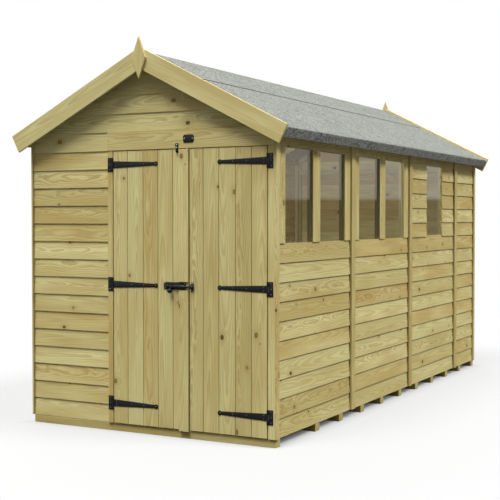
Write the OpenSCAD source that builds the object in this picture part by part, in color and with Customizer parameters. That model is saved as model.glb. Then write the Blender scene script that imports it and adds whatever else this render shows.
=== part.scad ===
// Apex garden shed in treated timber: framed and weatherboarded walls on cross bearers,
// five fixed windows in the right wall, double doors in the front gable and a felted roof.
// The front gable faces -Y, the windows face +X, and the origin is under the middle.

/* [Walls] */
// Width over the wall boards
wall_w = 1856; // [1500:1:2600]
// Length over the wall boards, three and a half bays
wall_l = 4200; // [3400:1:6000]
// Height of one weatherboard that shows
board_pitch = 119.5; // [95:0.5:150]
// Rows of boards up to the door head
head_rows = 15; // [14:1:17]
// Rows of boards up to the window sills
sill_rows = 10; // [8:1:11]
// Height of the side wall above the door head
eaves_rise = 138.5; // [110:0.5:220]
// Depth of the lapped boards, over the thick edges
clad_t = 16; // [12:1:24]
// Gap between two wall panels that meet on a bay line
panel_gap = 2; // [1:0.5:4]

/* [Frame] */
// Depth of the studs and rails, across the wall
stud_d = 30; // [25:1:50]
// Width of a stud, along the wall
stud_w = 45; // [35:1:60]
// Height of the bottom rails
rail_h = 30; // [25:1:50]

/* [Floor] */
// Height of a bearer
bearer_h = 50; // [40:1:80]
// Width of a bearer
bearer_w = 63; // [45:1:80]
// Distance between the first two bearers
first_bearer_step = 583; // [400:1:650]
// Number of bearers after the first
bearer_count = 10; // [8:1:14]
// Thickness of the floor boards
deck_t = 14; // [11:1:20]
// Height of the lowest wall board above the bearers
drip_gap = 2; // [1:0.5:5]

/* [Trims] */
// Thickness of the corner trims
corner_t = 12; // [8:1:20]
// Width of the corner trims
corner_w = 41; // [35:1:60]
// Thickness of the battens over the panel joints
batten_t = 14; // [8:1:20]
// Width of the battens over the panel joints
batten_w = 66; // [40:1:80]

/* [Windows] */
// Width of the board between two windows
mullion_w = 112; // [90:1:140]
// Width of the board between a window and its bay line
jamb_w = 132; // [90:1:160]
// How far the single window stands behind the middle of its bay
single_shift = 40; // [0:1:80]
// Thickness of the glass
glass_t = 3; // [3:0.5:6]
// Lap of the glass behind the boards
glass_lap = 8; // [5:1:15]
// Free space round the glass in its rebate
glass_gap = 1; // [0.5:0.1:2]

/* [Doors] */
// Width of the boarded wall left of the doors
front_panel_w = 626; // [450:1:750]
// Width of the left door post
left_post_w = 39; // [30:1:60]
// Width of the right door post
right_post_w = 47; // [40:1:60]
// Thickness of the door posts
post_t = 28; // [20:1:40]
// Gap round each leaf
door_gap = 5; // [5:0.5:8]
// How far the leaves meet to the right of the middle
meeting_shift = 14.5; // [0:0.5:40]
// Thickness of the door boards
leaf_t = 12; // [10:1:20]
// Thickness of the ledges and braces
ledge_t = 22; // [16:1:28]
// Height of a ledge
ledge_h = 95; // [70:1:120]
// Width of a brace
brace_w = 70; // [50:1:90]
// How far the ledges stay inside the leaf's edges
ledge_inset = 16; // [12:1:40]
// Width of the meeting strip
strip_w = 70; // [50:1:90]
// Thickness of the meeting strip
strip_t = 12; // [8:1:20]
// How far the meeting strip hangs below the leaf
strip_drop = 9; // [0:1:15]
// Thickness of the board over the doors
lintel_t = 16; // [12:1:25]

/* [Roof] */
// Slope of the roof, in degrees
roof_pitch = 27; // [20:0.5:32]
// Thickness of the roof boards
roof_board_t = 12; // [9:1:18]
// Thickness of one layer of felt
felt_t = 3; // [2:0.5:4]
// Overhang at the eaves beyond the wall boards, measured level
eaves_overhang = 102; // [60:1:150]
// Overhang at the gables beyond the wall boards
gable_overhang = 68; // [40:1:120]
// Depth of the felted edge at the eaves
fascia_h = 64; // [50:1:90]
// Thickness of the eaves fascia
fascia_t = 18; // [12:1:25]
// Length of the ridge felt down each slope
ridge_felt_l = 421; // [300:1:500]
// Lap of the ridge felt over the lower sheets
felt_lap = 75; // [50:1:100]
// Depth of the barge boards
barge_h = 125; // [95:1:150]
// Thickness of the barge boards
barge_t = 16; // [12:1:25]
// Height of the barge boards above the felt
barge_lift = 16; // [5:1:30]
// Width of a finial
finial_w = 104; // [70:1:140]
// Height of a finial
finial_h = 272; // [200:1:320]
// Height of a finial's tip above the barge boards
finial_rise = 66; // [40:1:100]
// Width of the ridge beam
ridge_beam_w = 28; // [22:1:44]
// Depth of the ridge beam
ridge_beam_h = 120; // [70:1:145]

/* [Hinges] */
// Width of a hinge plate
hinge_plate_w = 39; // [30:1:40]
// Height of a hinge plate
hinge_plate_h = 92; // [70:1:110]
// Thickness of the hinge steel
hinge_t = 3; // [2:0.5:4]
// Diameter of the knuckles
knuckle_d = 9; // [8:0.5:12]
// Diameter of the hinge pin
pin_d = 5; // [4:0.5:6]
// Length of a strap
strap_l = 349; // [250:1:420]
// Height of a strap at the knuckle
strap_root_h = 46; // [35:1:50]
// Height of a strap just short of its tip
strap_tip_h = 21; // [16:1:24]
// Diameter of a strap's round tip
strap_end_d = 30; // [24:1:34]
// Height of the lowest hinge above the foot of the leaf
low_hinge = 132; // [90:1:200]
// Depth of the highest hinge below the top of the leaf
high_hinge = 87; // [70:1:200]

/* [Padbolt] */
// Height of the padbolt above the foot of the leaf
bolt_up = 913; // [700:1:1000]
// Length of the back plate
bolt_plate_l = 166; // [140:1:180]
// Height of the back plate
bolt_plate_h = 47; // [40:1:55]
// Height of the back plate's middle above the rod
bolt_plate_up = 4; // [0:1:8]
// Distance from the back plate to the leaf's edge
bolt_plate_inset = 21; // [15:1:30]
// Diameter of the rod
rod_d = 14; // [10:0.5:16]
// Running gap round the rod
rod_gap = 0.6; // [0.4:0.1:1]
// Travel of the rod into its keep
rod_travel = 20; // [15:1:28]
// Distance the rod can be drawn back further
rod_back = 12; // [0:1:15]
// Length of the keep's bored bridge
keep_w = 27; // [20:1:32]
// Width of the keep's plate
keep_plate_w = 20; // [16:1:27]
// Height of the keep
keep_h = 62; // [50:1:70]
// Distance from the leaf's edge to the keep
keep_inset = 5; // [4:1:10]
// Diameter of the knob
knob_d = 30; // [20:1:32]
// Distance from the back plate's rear end to the knob
knob_in = 58; // [38:1:70]

/* [Small pieces] */
// Width of the plaque over the doors
plaque_w = 80; // [60:1:110]
// Height of the plaque over the doors
plaque_h = 51; // [35:1:65]
// Thickness of the plaque
plaque_t = 3; // [2:0.5:5]
// Width of the catch at the top of the doors
catch_w = 24; // [18:1:30]
// Height of the catch's round keep above the head of the doorway
catch_up = 23; // [18:1:35]

/* [Hidden] */
$fn = 48;

timber = "#b5ac77";
sawn = "#c0b888";
felt_grey = "#b9bbb6";
glass_tint = "#c9d6d2";
black_iron = "#1d1e20";

// Cuts run past the faces they open by this much
over = 1;
// Blocks run into the plate they stand on by this much
sink = 0.5;
// Hair of room between sloped timbers, boards and felts that lie on each other
seat_gap = 0.1;

// Plan: half sizes of the board faces and of the frame
wall_x = wall_w / 2;
wall_y = wall_l / 2;
frame_x = wall_x - clad_t;
frame_y = wall_y - clad_t;
inner_x = frame_x - stud_d;
inner_y = frame_y - stud_d;

// Levels
wall_base = bearer_h + drip_gap;
floor_z = bearer_h + deck_t;
head_z = wall_base + head_rows * board_pitch;
sill_z = wall_base + sill_rows * board_pitch;
side_top = head_z + eaves_rise;

// Roof: u runs down the slope from the ridge and v stands square to it, with 0 on the felt's top
roof_under = -2 * felt_t - roof_board_t;
frame_top = roof_under - seat_gap;
ridge_z = side_top + tan(roof_pitch) * wall_x - roof_under / cos(roof_pitch);
slope_l = (wall_x + eaves_overhang) / cos(roof_pitch);
roof_y = wall_y + gable_overhang;
barge_y = roof_y + barge_t;
function slope_point(u, v) = [u * cos(roof_pitch) + v * sin(roof_pitch),
    ridge_z - u * sin(roof_pitch) + v * cos(roof_pitch)];
// Point on the middle plane, and point at a given distance from it, at depth v
function ridge_point(v) = [0, ridge_z + v / cos(roof_pitch)];
function roof_at(x, v) = [x, ridge_z + v / cos(roof_pitch) - x * tan(roof_pitch)];

// Bays and windows of the right wall
bay = wall_l / 3.5;
function bay_line(i) = -wall_y + bay * i;
window_w = (bay - mullion_w - 2 * jamb_w) / 2;
pair_offset = (mullion_w + window_w) / 2;
// Studs of the gables stand a third of the way out
third_x = frame_x / 3;
WINDOWS = [for (i = [0, 1], side = [-1, 1]) bay_line(i) + bay / 2 + side * pair_offset,
    bay_line(2) + bay / 2 + single_shift];
BAY_LINES = [bay_line(1), bay_line(2), bay_line(3)];

// Doors
door_y = -wall_y - corner_t;
left_post_x = -wall_x + front_panel_w;
open_left = left_post_x + left_post_w;
open_right = wall_x - right_post_w;
meeting_x = (open_left + open_right) / 2 + meeting_shift;
leaf_z0 = bearer_h + door_gap;
leaf_z1 = head_z - door_gap;
left_leaf_x0 = open_left + door_gap;
left_leaf_x1 = meeting_x - door_gap / 2;
right_leaf_x0 = meeting_x + door_gap / 2;
right_leaf_x1 = open_right - door_gap;
HINGE_Z = [leaf_z0 + low_hinge, (leaf_z0 + low_hinge + leaf_z1 - high_hinge) / 2,
    leaf_z1 - high_hinge];
pin_gap = 0.5;
brace_gap = 0.5;
knuckle_gap = 0.5;
// Half the height of the strap's knuckle, and the room round it
middle_knuckle = 17;
knuckle_room = 1.5;
pin_y = door_y - knuckle_d / 2 - pin_gap;
left_pin_x = open_left + door_gap / 2;
right_pin_x = open_right - door_gap / 2;

// Padbolt
bolt_z = leaf_z0 + bolt_up;
bolt_plate_z0 = bolt_z + bolt_plate_up - bolt_plate_h / 2;
bolt_plate_z1 = bolt_plate_z0 + bolt_plate_h;
bolt_x1 = left_leaf_x1 - bolt_plate_inset;
bolt_x0 = bolt_x1 - bolt_plate_l;
rod_y = door_y - hinge_t - rod_gap - rod_d / 2;
rod_tip = meeting_x;
keep_x0 = right_leaf_x0 + keep_inset;
strip_notch_gap = 3;
guide_wall = 4;
guide_half = rod_d / 2 + rod_gap + guide_wall;
guide_inset = 2;
rear_guide_l = 10;
// The rod's rear end stays in its guide by this much when the rod is shot
rod_hold = 4;
stem_d = 9;
knob_drop = 27;
knob_out = 14;
// The guides leave the stem its travel, with this much room at each end
stem_room = 2;
knob_x = bolt_x0 + knob_in;
rear_guide_x = knob_x - stem_d / 2 - rod_back - stem_room;
front_guide_x = knob_x + stem_d / 2 + rod_travel + stem_room;

// Top catch
catch_gap = 3;
catch_x = left_leaf_x1 - strip_w - catch_gap - catch_w / 2;
catch_keep_t = 6;
catch_neck_w = 12;
catch_neck_gap = 1;
catch_plate_inset = 2;
catch_plate_h = 20;
catch_barrel_d = 14;
catch_barrel_h = 16;

module box(x, y, z) {
    translate([x[0], y[0], z[0]]) cube([x[1] - x[0], y[1] - y[0], z[1] - z[0]]);
}

// A section drawn in X and Z, run from one Y to another
module along_y(y0, y1) {
    translate([0, y1, 0]) rotate([90, 0, 0]) linear_extrude(y1 - y0) children();
}

module both_sides() {
    children();
    mirror([1, 0, 0]) children();
}

module both_ends() {
    children();
    mirror([0, 1, 0]) children();
}

// Section of one slope between two depths, from the ridge to u_end
module slope_band(v0, v1, u_end) {
    polygon([ridge_point(v0), ridge_point(v1), slope_point(u_end, v1), slope_point(u_end, v0)]);
}

// ---- Floor ----

module floor_bearers() {
    first_y = -wall_y + bearer_w / 2;
    second_y = first_y + first_bearer_step;
    step = (wall_y - bearer_w / 2 - second_y) / (bearer_count - 1);
    color(timber) for (y = concat([first_y], [for (i = [0:bearer_count - 1]) second_y + step * i]))
        box([-wall_x, wall_x], [y - bearer_w / 2, y + bearer_w / 2], [0, bearer_h]);
}

module floor_deck() {
    color(sawn) box([-frame_x, frame_x], [-frame_y, frame_y], [bearer_h, floor_z]);
}

// ---- Wall boards ----

// The openings of the windows, with the rebate that holds the glass
module window_cuts() {
    lap = glass_lap + glass_gap;
    for (y = WINDOWS) {
        box([inner_x, wall_x + over], [y - window_w / 2, y + window_w / 2], [sill_z, head_z]);
        box([frame_x - over, frame_x + glass_t + glass_gap],
            [y - window_w / 2 - lap, y + window_w / 2 + lap], [sill_z - lap, head_z + lap]);
    }
}

// One panel of side boards, from one bay line to the next
module side_panel(i, top) {
    y0 = max(bay_line(i) + panel_gap / 2, -frame_y);
    y1 = min(bay_line(i + 1) - panel_gap / 2, frame_y);
    box([frame_x, wall_x], [y0, y1], [wall_base, top]);
}

module cut_panel(i, top) {
    color(timber) difference() {
        side_panel(i, top);
        window_cuts();
    }
}

module right_wall_front() { cut_panel(0, sill_z); }
module right_wall_second() { cut_panel(1, sill_z); }
module right_wall_third() { cut_panel(2, side_top); }
module right_wall_rear() { color(timber) side_panel(3, side_top); }

module left_wall() {
    color(timber) mirror([1, 0, 0]) for (i = [0:3]) side_panel(i, side_top);
}

module front_wall() {
    color(timber) box([-wall_x, left_post_x], [-wall_y, -frame_y], [wall_base, head_z]);
}

// Outline of a gable's boards down to a level
module gable_outline(z0) {
    polygon([[-wall_x, z0], [wall_x, z0], roof_at(wall_x, frame_top), ridge_point(frame_top),
        [-wall_x, roof_at(wall_x, frame_top)[1]]]);
}

module front_gable() {
    color(timber) along_y(-wall_y, -frame_y) gable_outline(head_z);
}

module rear_wall() {
    color(timber) along_y(frame_y, wall_y) gable_outline(wall_base);
}

// ---- Frames behind the boards ----

// Timber of an end frame or a rafter, with upright ends, just under the roof boards
module sloped_timber(x0, x1, y0, y1) {
    along_y(y0, y1) polygon([roof_at(x0, frame_top), roof_at(x0, frame_top - stud_w),
        roof_at(x1, frame_top - stud_w), roof_at(x1, frame_top)]);
}

// Short stud from the head rail up to the end rafter
module upper_stud(x0, x1) {
    z0 = head_z + stud_w;
    top = frame_top - stud_w - seat_gap;
    along_y(-frame_y, -inner_y)
        polygon([[x0, z0], [x1, z0], roof_at(x1, top), roof_at(x0, top)]);
}

module upper_studs() {
    both_sides() {
        upper_stud(frame_x - stud_w, frame_x);
        upper_stud(third_x - stud_w / 2, third_x + stud_w / 2);
    }
    along_y(-frame_y, -inner_y) polygon([[-stud_w / 2, head_z + stud_w], [stud_w / 2, head_z + stud_w],
        roof_at(stud_w / 2, frame_top), ridge_point(frame_top),
        [-stud_w / 2, roof_at(stud_w / 2, frame_top)[1]]]);
}

module end_studs() {
    front = [-frame_y, -inner_y];
    color(sawn) {
        both_ends() upper_studs();
        for (x = [[-frame_x, -frame_x + stud_w], [left_post_x, open_left]])
            box(x, front, [floor_z + rail_h, head_z]);
        box([open_right, frame_x], front, [floor_z, head_z]);
        both_sides() for (x = [[frame_x - stud_w, frame_x], [third_x - stud_w / 2, third_x + stud_w / 2]])
            box(x, [inner_y, frame_y], [floor_z + rail_h, head_z]);
    }
}

// Bottom rails, head rails and the rafters of the two gables
module end_rails() {
    color(sawn) {
        box([-frame_x, open_left], [-frame_y, -inner_y], [floor_z, floor_z + rail_h]);
        box([-frame_x, frame_x], [inner_y, frame_y], [floor_z, floor_z + rail_h]);
        both_ends() {
            box([-frame_x, frame_x], [-frame_y, -inner_y], [head_z, head_z + stud_w]);
            both_sides() sloped_timber(stud_w / 2, frame_x, -frame_y, -inner_y);
        }
    }
}

module side_stud(y0, y1) {
    box([inner_x, frame_x], [y0, y1], [floor_z + rail_h, side_top - stud_w]);
}

// Corner studs, and the pairs that meet on the bay lines
module side_main_studs() {
    half_gap = panel_gap / 2;
    both_ends() side_stud(-inner_y, -inner_y + stud_w);
    for (y = BAY_LINES) {
        side_stud(y - stud_w, y - half_gap);
        side_stud(y + half_gap, y + stud_w);
    }
}

module side_studs() {
    color(sawn) {
        both_sides() side_main_studs();
        for (y = WINDOWS) {
            side_stud(y - window_w / 2 - stud_w, y - window_w / 2);
            side_stud(y + window_w / 2, y + window_w / 2 + stud_w);
        }
        for (i = [0:2]) {
            middle = bay_line(i) + bay / 2;
            mirror([1, 0, 0]) side_stud(middle - stud_w / 2, middle + stud_w / 2);
        }
    }
}

// Bottom rails, bevelled top plates, and the short rails under and over the windows
module side_rails() {
    color(sawn) {
        both_sides() {
            box([inner_x, frame_x], [-inner_y, inner_y], [floor_z, floor_z + rail_h]);
            along_y(-inner_y, inner_y) polygon([[inner_x, side_top - stud_w],
                [frame_x, side_top - stud_w], roof_at(frame_x, frame_top),
                roof_at(inner_x, frame_top)]);
        }
        for (y = WINDOWS, z = [sill_z - stud_w, head_z])
            box([inner_x, frame_x], [y - window_w / 2, y + window_w / 2], [z, z + stud_w]);
    }
}

module ridge_beam() {
    top = roof_at(ridge_beam_w / 2, frame_top)[1];
    color(sawn) box([-ridge_beam_w / 2, ridge_beam_w / 2], [-inner_y, inner_y],
        [top - ridge_beam_h, top]);
}

// Rafters on the bay lines and half way between them
module roof_rafters() {
    color(sawn) both_sides() for (i = [1:6]) {
        y = -wall_y + i * bay / 2;
        sloped_timber(ridge_beam_w / 2, inner_x, y - stud_d / 2, y + stud_d / 2);
    }
}

// ---- Trims and windows ----

// Top of a trim whose outer face lies at x, just under the roof boards
function trim_top(x) = roof_at(x, roof_under)[1] - drip_gap;

module corner_trims() {
    x1 = wall_x + corner_t;
    color(timber) both_sides() both_ends()
        box([wall_x, x1], [-wall_y - corner_t, -wall_y - corner_t + corner_w],
            [wall_base, trim_top(x1)]);
}

module cover_battens() {
    x1 = wall_x + batten_t;
    color(timber) both_sides() for (y = BAY_LINES)
        box([wall_x, x1], [y - batten_w / 2, y + batten_w / 2], [wall_base, trim_top(x1)]);
}

module window_trims() {
    color(timber) difference() {
        for (i = [0, 1]) {
            y0 = max(bay_line(i) + panel_gap / 2, -frame_y);
            y1 = bay_line(i + 1) - panel_gap / 2;
            box([frame_x, wall_x], [y0, y1], [sill_z, head_z]);
        }
        window_cuts();
    }
}

module window_head_boards() {
    color(timber) difference() {
        for (i = [0, 1]) {
            y0 = max(bay_line(i) + panel_gap / 2, -frame_y);
            y1 = bay_line(i + 1) - panel_gap / 2;
            box([frame_x, wall_x], [y0, y1], [head_z, side_top]);
        }
        window_cuts();
    }
}

module window_panes() {
    color(glass_tint, 0.4) for (y = WINDOWS)
        box([frame_x, frame_x + glass_t],
            [y - window_w / 2 - glass_lap, y + window_w / 2 + glass_lap],
            [sill_z - glass_lap, head_z + glass_lap]);
}

// ---- Roof ----

module right_roof_deck() {
    along_y(-roof_y, roof_y)
        slope_band(roof_under, -2 * felt_t - seat_gap, slope_l - felt_t - fascia_t - seat_gap);
}

module roof_deck_right() { color(sawn) right_roof_deck(); }
module roof_deck_left() { color(sawn) mirror([1, 0, 0]) right_roof_deck(); }

module eaves_fascias() {
    top = -2 * felt_t - seat_gap;
    t = fascia_t - seat_gap;
    color(sawn) both_sides() along_y(-roof_y, roof_y)
        polygon([for (p = [[0, top], [t, top], [t, -fascia_h - felt_t], [0, -fascia_h - felt_t]])
            slope_point(slope_l - felt_t - fascia_t + p[0], p[1])]);
}

// Lower sheet on each slope, folded down over the fascia
module lower_felt() {
    u0 = ridge_felt_l - felt_lap;
    color(felt_grey) both_sides() along_y(-roof_y, roof_y)
        polygon([for (p = [[u0, -2 * felt_t], [u0, -felt_t], [slope_l, -felt_t],
            [slope_l, -fascia_h - felt_t], [slope_l - felt_t, -fascia_h - felt_t],
            [slope_l - felt_t, -2 * felt_t]]) slope_point(p[0], p[1])]);
}

// One sheet over the ridge, which steps up where it laps the lower sheets
module ridge_felt() {
    u0 = ridge_felt_l - felt_lap;
    lap_v = -felt_t + seat_gap;
    half = [for (p = [[u0 - 2 * felt_t, -felt_t], [u0, 0], [ridge_felt_l, 0],
        [ridge_felt_l, lap_v], [u0 - seat_gap, lap_v], [u0 - seat_gap, -2 * felt_t]])
        slope_point(p[0], p[1])];
    color(felt_grey) along_y(-roof_y, roof_y)
        polygon(concat([ridge_point(-felt_t)], half, [ridge_point(-2 * felt_t)],
            [for (i = [len(half) - 1:-1:0]) [-half[i][0], half[i][1]]]));
}

// Barge board of the right slope, at the front and at the rear
module right_barges() {
    end_u = slope_l + (barge_lift + felt_t) * tan(roof_pitch);
    both_ends() along_y(-barge_y, -roof_y)
        slope_band(barge_lift - barge_h, barge_lift, end_u);
}

module right_barge_boards() { color(timber) right_barges(); }
module left_barge_boards() { color(timber) mirror([1, 0, 0]) right_barges(); }

module finials() {
    tip = ridge_point(barge_lift)[1] + finial_rise;
    color(timber) both_ends() along_y(-barge_y - barge_t, -barge_y)
        polygon([[0, tip], [finial_w / 2, tip - finial_h / 2], [0, tip - finial_h],
            [-finial_w / 2, tip - finial_h / 2]]);
}

// ---- Door posts, head and small fixed pieces ----

module door_posts() {
    color(timber) for (x = [[left_post_x, open_left], [open_right, wall_x]])
        box(x, [door_y, door_y + post_t], [wall_base, head_z]);
}

// As high as one board, and cut under the roof where the roof is lower
module door_head() {
    color(timber) along_y(-wall_y - lintel_t, -wall_y) intersection() {
        translate([left_post_x, head_z]) square([wall_x - left_post_x, board_pitch]);
        gable_outline(head_z);
    }
}

// Blank plate with clipped corners
module door_plaque() {
    w = plaque_w / 2;
    h = plaque_h / 2;
    clip = plaque_h / 5;
    y1 = -wall_y - lintel_t;
    color(black_iron) translate([left_leaf_x1, 0, head_z + board_pitch / 2]) along_y(y1 - plaque_t, y1)
        polygon([[w, clip - h], [w, h - clip], [w - clip, h], [clip - w, h], [-w, h - clip],
            [-w, clip - h], [clip - w, -h], [w - clip, -h]]);
}

// Keep of the top catch, on the board over the doors: a round plate with a neck down to the leaf
module catch_keep() {
    y1 = -wall_y - lintel_t;
    neck_h = catch_up - catch_neck_gap;
    color(black_iron) along_y(y1 - catch_keep_t, y1) translate([catch_x, head_z + catch_up]) {
        circle(d = catch_w);
        translate([-catch_neck_w / 2, -neck_h]) square([catch_neck_w, neck_h]);
    }
}

// Plain barrel of the top catch, on the left leaf
module top_catch() {
    half = catch_w / 2 - catch_plate_inset;
    color(black_iron) translate([catch_x, door_y, leaf_z1 - over]) {
        box([-half, half], [-hinge_t, 0], [-catch_plate_h, 0]);
        translate([0, -hinge_t - catch_barrel_d / 2 + over, -catch_barrel_h])
            cylinder(h = catch_barrel_h, d = catch_barrel_d);
    }
}

// ---- Hinges ----

// Knuckle at the pin, between two heights around the middle of a hinge
module knuckle(x, z0, z1, bore) {
    translate([x, pin_y, z0]) difference() {
        cylinder(h = z1 - z0, d = knuckle_d);
        if (bore > 0) translate([0, 0, -over]) cylinder(h = z1 - z0 + 2 * over, d = bore);
    }
}

// Fixed halves: a plate on the post, the outer knuckles and the pin
module hinge_plates() {
    color(black_iron) for (z = HINGE_Z, side = [-1, 1]) {
        pin_x = side < 0 ? left_pin_x : right_pin_x;
        half_h = hinge_plate_h / 2;
        plate_x = side < 0 ? [pin_x - hinge_plate_w, pin_x] : [pin_x, pin_x + hinge_plate_w];
        difference() {
            union() {
                box(plate_x, [door_y - hinge_t, door_y], [z - half_h, z + half_h]);
                knuckle(pin_x, z - half_h, z + half_h, 0);
            }
            strap_room(pin_x, z);
        }
        translate([pin_x, pin_y, z - half_h]) cylinder(h = hinge_plate_h, d = pin_d);
    }
}

// Space left for the strap's knuckle and its root
module strap_room(pin_x, z) {
    h = middle_knuckle + knuckle_gap;
    room = knuckle_d / 2 + knuckle_room;
    box([pin_x - room, pin_x + room], [pin_y - room, door_y + over], [z - h, z + h]);
}

// Moving half: a tapered strap with a round end, and the middle knuckle
module hinge_strap(pin_x, side) {
    for (z = HINGE_Z) {
        h = middle_knuckle;
        difference() {
            union() {
                knuckle(pin_x, z - h, z + h, 0);
                along_y(door_y - hinge_t, door_y) translate([pin_x, z]) scale([side, 1]) {
                    root_x = knuckle_d / 2 + knuckle_room + knuckle_gap;
                    tip_x = strap_l - strap_end_d / 2;
                    translate([0, -h]) square([root_x + over, 2 * h]);
                    polygon([[root_x, -strap_root_h / 2], [tip_x, -strap_tip_h / 2],
                        [tip_x, strap_tip_h / 2], [root_x, strap_root_h / 2]]);
                    translate([tip_x, 0]) circle(d = strap_end_d);
                }
            }
            translate([pin_x, pin_y, z - h - over])
                cylinder(h = 2 * (h + over), d = pin_d + knuckle_gap);
        }
    }
}

module left_hinge_straps() { color(black_iron) hinge_strap(left_pin_x, 1); }
module right_hinge_straps() { color(black_iron) hinge_strap(right_pin_x, -1); }

// ---- Door leaves ----

module leaf_boards(x0, x1) {
    color(timber) box([x0, x1], [door_y, door_y + leaf_t], [leaf_z0, leaf_z1]);
}

// Three ledges behind the hinges, with a brace that rises from the hinge side in each half,
// fitted between the ledges with a hair of room
module leaf_ledges(hinge_x, free_x) {
    x0 = min(hinge_x, free_x) + ledge_inset;
    x1 = max(hinge_x, free_x) - ledge_inset;
    lean = hinge_x < free_x ? 1 : -1;
    middle = (x0 + x1) / 2;
    run = x1 - x0 - brace_w;
    color(sawn) along_y(door_y + leaf_t, door_y + leaf_t + ledge_t) {
        for (z = HINGE_Z) translate([x0, z - ledge_h / 2]) square([x1 - x0, ledge_h]);
        for (i = [0, 1]) {
            z0 = HINGE_Z[i] + ledge_h / 2 + brace_gap;
            z1 = HINGE_Z[i + 1] - ledge_h / 2 - brace_gap;
            polygon([for (p = [[-run - brace_w, z0], [-run + brace_w, z0], [run + brace_w, z1],
                [run - brace_w, z1]]) [middle + lean * p[0] / 2, p[1]]]);
        }
    }
}

module left_leaf_boards() { leaf_boards(left_leaf_x0, left_leaf_x1); }
module right_leaf_boards() { leaf_boards(right_leaf_x0, right_leaf_x1); }
module left_leaf_ledges() { leaf_ledges(left_leaf_x0, left_leaf_x1); }
module right_leaf_ledges() { leaf_ledges(right_leaf_x1, right_leaf_x0); }

// Strip on the left leaf's free edge, cut away where the padbolt lies on the leaf
module meeting_strip() {
    x0 = left_leaf_x1 - strip_w;
    notch = [bolt_plate_z0 - strip_notch_gap, bolt_plate_z1 + strip_notch_gap];
    color(timber) for (z = [[leaf_z0 - strip_drop, notch[0]], [notch[1], leaf_z1]])
        box([x0, left_leaf_x1], [door_y - strip_t, door_y], z);
}

// ---- Padbolt ----

// Cover with a round face and a bore that guides the rod, standing on its plate
module rod_guide(x0, x1) {
    deep = door_y - hinge_t + sink - rod_y;
    translate([x0, rod_y, bolt_z]) difference() {
        rotate([90, 0, 90]) linear_extrude(x1 - x0) {
            translate([0, -guide_half]) square([deep, 2 * guide_half]);
            intersection() {
                circle(r = guide_half);
                translate([-guide_half, -guide_half]) square([guide_half + over, 2 * guide_half]);
            }
        }
        translate([-over, 0, 0]) rotate([0, 90, 0])
            cylinder(h = x1 - x0 + 2 * over, d = rod_d + 2 * rod_gap);
    }
}

module padbolt_plate() {
    color(black_iron) {
        box([bolt_x0, bolt_x1], [door_y - hinge_t, door_y], [bolt_plate_z0, bolt_plate_z1]);
        rod_guide(rear_guide_x - rear_guide_l, rear_guide_x);
        rod_guide(front_guide_x, bolt_x1 - guide_inset);
    }
}

// Round rod with a stem and a ball knob turned down
module padbolt_rod() {
    rear_end = rear_guide_x - rod_hold - rod_travel;
    color(black_iron) {
        translate([rear_end, rod_y, bolt_z]) rotate([0, 90, 0])
            cylinder(h = rod_tip - rear_end, d = rod_d);
        translate([knob_x, rod_y, bolt_z]) rotate([180 - atan(knob_out / knob_drop), 0, 0])
            cylinder(h = norm([knob_drop, knob_out]), d = stem_d);
        translate([knob_x, rod_y - knob_out, bolt_z - knob_drop]) sphere(d = knob_d);
    }
}

// Keep on the right leaf: a plate with round ends and a bored bridge
module padbolt_keep() {
    x1 = keep_x0 + keep_w;
    lobe = (keep_h - keep_plate_w) / 2;
    color(black_iron) {
        along_y(door_y - hinge_t, door_y) translate([(keep_x0 + x1) / 2, bolt_z]) {
            for (z = [-lobe, lobe]) translate([0, z]) circle(d = keep_plate_w);
            translate([-keep_plate_w / 2, -lobe]) square([keep_plate_w, 2 * lobe]);
        }
        rod_guide(keep_x0, x1);
    }
}

floor_bearers();
floor_deck();
right_wall_front();
right_wall_second();
right_wall_third();
right_wall_rear();
left_wall();
front_wall();
front_gable();
rear_wall();
door_posts();
door_head();
end_studs();
end_rails();
side_studs();
side_rails();
corner_trims();
cover_battens();
window_trims();
window_head_boards();
window_panes();
roof_deck_left();
roof_deck_right();
lower_felt();
ridge_felt();
eaves_fascias();
ridge_beam();
roof_rafters();
left_barge_boards();
right_barge_boards();
finials();
hinge_plates();
catch_keep();
door_plaque();
left_leaf_boards();
left_leaf_ledges();
meeting_strip();
left_hinge_straps();
padbolt_plate();
top_catch();
padbolt_rod();
right_leaf_boards();
right_leaf_ledges();
right_hinge_straps();
padbolt_keep();
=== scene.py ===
# %% [markdown]
# # A boarded garden shed
#
# The shed is a frame of light studs with boards nailed across it. The frame comes in ready measured,
# and this lesson gives it what the eye sees: separate boards with grain, felt with its grit,
# black ironwork, panes of glass and soft studio light.

# %% Load the frame
import math
import random

import bmesh
import bpy
from mathutils import Matrix, Vector


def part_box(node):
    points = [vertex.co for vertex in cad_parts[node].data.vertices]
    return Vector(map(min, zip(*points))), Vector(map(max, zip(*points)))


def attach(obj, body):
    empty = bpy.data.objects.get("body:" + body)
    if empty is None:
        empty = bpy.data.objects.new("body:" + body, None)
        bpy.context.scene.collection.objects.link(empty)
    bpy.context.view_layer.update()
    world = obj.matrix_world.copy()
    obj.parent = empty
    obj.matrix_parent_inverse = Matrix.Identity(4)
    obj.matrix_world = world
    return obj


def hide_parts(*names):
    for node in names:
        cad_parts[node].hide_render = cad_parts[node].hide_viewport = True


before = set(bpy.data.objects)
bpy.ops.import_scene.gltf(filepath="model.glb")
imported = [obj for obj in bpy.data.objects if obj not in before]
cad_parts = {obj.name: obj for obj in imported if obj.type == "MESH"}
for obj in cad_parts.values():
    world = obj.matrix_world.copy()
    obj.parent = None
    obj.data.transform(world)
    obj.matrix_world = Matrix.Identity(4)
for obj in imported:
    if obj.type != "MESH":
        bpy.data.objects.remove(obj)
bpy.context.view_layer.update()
rng = random.Random(14)
MM = 0.001

# %% [markdown]
# ## Small helpers for materials
#
# Colours are written as hex values, the way a paint chart gives them, and turned to linear light.
# Nodes could be added one call at a time, with a line for each setting and each link. One helper that
# adds a node with its settings and its links is shorter, and a material then reads as a list of steps.


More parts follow.
